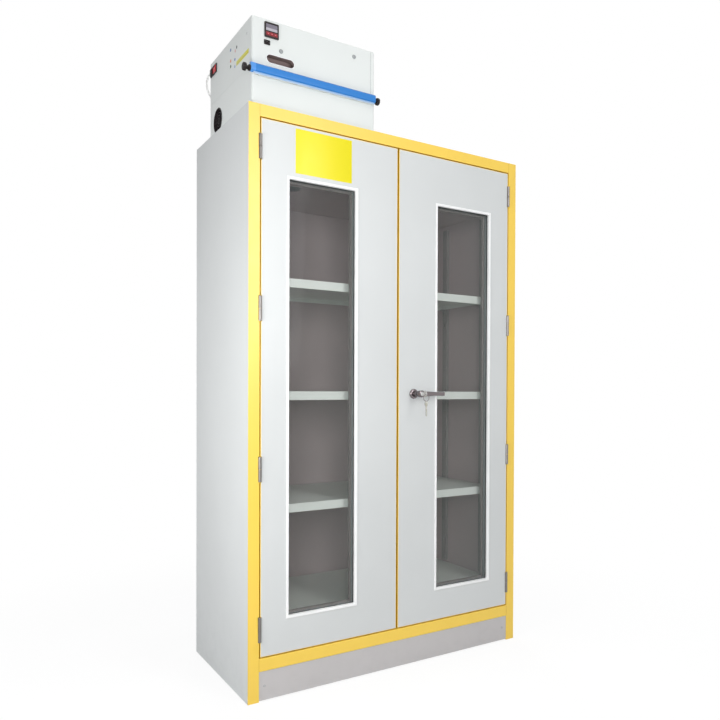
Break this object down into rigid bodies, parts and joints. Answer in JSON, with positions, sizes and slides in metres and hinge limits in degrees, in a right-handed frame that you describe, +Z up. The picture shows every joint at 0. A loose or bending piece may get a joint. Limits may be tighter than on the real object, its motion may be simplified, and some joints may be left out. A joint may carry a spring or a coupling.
{
  "type": "glass door safety cabinet",
  "caption": "Tall two-door safety cabinet with glazed doors, yellow frame, shelves, spill tray, key-locked lever handle and a filter unit with fan and mains lead on top.",
  "frame": {"origin": "on the floor under the middle of the outline's width and depth", "axes": "+Z up, +Y towards the back panel, so the doors face -Y, and +X to the right seen from the front"},
  "size_m": [1.1592, 0.655, 2.235],
  "materials": {
    "grey_paint": "satin powder coat",
    "yellow_paint": "satin powder coat",
    "unit_paint": "satin powder coat",
    "shelf_paint": "satin powder coat",
    "liner_board": "grey melamine-faced insulation board",
    "door_core": "yellow edge over an insulating core",
    "white_trim": "satin",
    "window_glass": "clear fire glass",
    "seal_rubber": "matt",
    "black_plastic": "satin",
    "red_plastic": "gloss",
    "blue_bar": "blue anodised look, satin",
    "steel": "zinc plated",
    "chrome": "polished",
    "key_nickel": "nickel plated",
    "white_cord": "satin",
    "white_plastic": "satin"
  },
  "bodies": {
    "root": {"left_post": "yellow_paint", "right_post": "yellow_paint", "left_side_panel": "grey_paint", "right_side_panel": "grey_paint", "back_panel": "grey_paint", "top_panel": "grey_paint", "top_rail": "yellow_paint", "bottom_rail": "yellow_paint", "plinth_panel": "grey_paint", "base_pan": "steel", "left_inner_wall": "liner_board", "right_inner_wall": "liner_board", "rear_inner_wall": "liner_board", "floor_board": "liner_board", "ceiling_board": "liner_board", "exhaust_duct": "steel", "frame_seal": "seal_rubber", "left_shelf_upright_1": "shelf_paint", "right_shelf_upright_1": "shelf_paint", "left_shelf_upright_2": "shelf_paint", "right_shelf_upright_2": "shelf_paint", "shelf_1": "shelf_paint", "shelf_2": "shelf_paint", "shelf_3": "shelf_paint", "spill_tray": "shelf_paint", "tray_cover": "shelf_paint", "unit_body": "unit_paint", "unit_hood": "unit_paint", "controller": "black_plastic", "outlet_grille": "black_plastic", "clamp_bar": "blue_bar", "cord_gland": "white_plastic", "mains_lead": "white_cord", "mains_coil": "white_cord", "mains_plug": "white_plastic"},
    "left_door": {"left_door_leaf": "door_core", "left_door_skin": "grey_paint", "left_window_trim": "white_trim", "left_window_glass": "window_glass"},
    "right_door": {"right_door_leaf": "door_core", "right_door_skin": "grey_paint", "right_window_trim": "white_trim", "right_window_glass": "window_glass", "handle_rose": "chrome"},
    "handle": {"handle_lever": "chrome", "latch_pinion": "steel"},
    "upper_rod": {"upper_latch_rod": "steel"},
    "lower_rod": {"lower_latch_rod": "steel"},
    "lock": {"lock_cylinder": "steel", "door_key": "steel"},
    "keys": {"key_ring": "steel", "spare_key": "key_nickel"},
    "left_knob": {"left_clamp_knob": "black_plastic"},
    "right_knob": {"right_clamp_knob": "black_plastic"},
    "main_switch": {"main_rocker": "red_plastic"},
    "small_switch": {"small_rocker": "black_plastic"},
    "button_1": {"controller_button_1": "red_plastic"},
    "button_2": {"controller_button_2": "red_plastic"},
    "button_3": {"controller_button_3": "red_plastic"},
    "fan": {"fan_impeller": "black_plastic"}
  },
  "joints": [
    {"name": "left_door_swing", "type": "hinge", "parent": "root", "child": "left_door", "pos_m": [-0.52035, -0.2325, 1.0265], "axis": [0, 0, -1], "range_deg": [0, 110]},
    {"name": "right_door_swing", "type": "hinge", "parent": "root", "child": "right_door", "pos_m": [0.53965, -0.2325, 1.0265], "axis": [0, 0, 1], "range_deg": [0, 110]},
    {"name": "handle_turn", "type": "hinge", "parent": "right_door", "child": "handle", "pos_m": [0.07965, -0.2625, 1.01], "axis": [0, 1, 0], "range_deg": [0, 90]},
    {"name": "upper_rod_slide", "type": "slide", "parent": "right_door", "child": "upper_rod", "axis": [0, 0, -1], "range_m": [0, 0.0213]},
    {"name": "lower_rod_slide", "type": "slide", "parent": "right_door", "child": "lower_rod", "axis": [0, 0, 1], "range_m": [0, 0.0213]},
    {"name": "key_turn", "type": "hinge", "parent": "handle", "child": "lock", "pos_m": [0.07965, -0.2925, 1.01], "axis": [0, 1, 0], "range_deg": [0, 90]},
    {"name": "key_ring_swing", "type": "hinge", "parent": "lock", "child": "keys", "pos_m": [0.07965, -0.3165, 1.0078], "axis": [1, 0, 0], "range_deg": [-30, 30]},
    {"name": "left_knob_turn", "type": "hinge", "parent": "root", "child": "left_knob", "pos_m": [-0.55435, -0.2288, 2.0578], "axis": [1, 0, 0], "continuous": true},
    {"name": "right_knob_turn", "type": "hinge", "parent": "root", "child": "right_knob", "pos_m": [-0.08935, -0.2288, 2.0578], "axis": [1, 0, 0], "continuous": true},
    {"name": "main_switch_tilt", "type": "hinge", "parent": "root", "child": "main_switch", "pos_m": [-0.54685, 0.1525, 2.1971], "axis": [0, 0, 1], "range_deg": [0, 12]},
    {"name": "small_switch_tilt", "type": "hinge", "parent": "root", "child": "small_switch", "pos_m": [-0.49485, -0.2205, 2.1585], "axis": [0, 0, 1], "range_deg": [0, 12]},
    {"name": "button_1_press", "type": "slide", "parent": "root", "child": "button_1", "axis": [0, 1, 0], "range_m": [0, 0.001], "stiffness_N_per_m": 120, "springref_m": -0.001},
    {"name": "button_2_press", "type": "slide", "parent": "root", "child": "button_2", "axis": [0, 1, 0], "range_m": [0, 0.001], "stiffness_N_per_m": 120, "springref_m": -0.001},
    {"name": "button_3_press", "type": "slide", "parent": "root", "child": "button_3", "axis": [0, 1, 0], "range_m": [0, 0.001], "stiffness_N_per_m": 120, "springref_m": -0.001},
    {"name": "fan_spin", "type": "hinge", "parent": "root", "child": "fan", "pos_m": [-0.54635, 0.1165, 1.999], "axis": [1, 0, 0], "continuous": true}
  ],
  "couplings": [
    {"joint": "upper_rod_slide", "follows": "handle_turn", "m_per_rad": 0.0135},
    {"joint": "lower_rod_slide", "follows": "handle_turn", "m_per_rad": 0.0135}
  ]
}
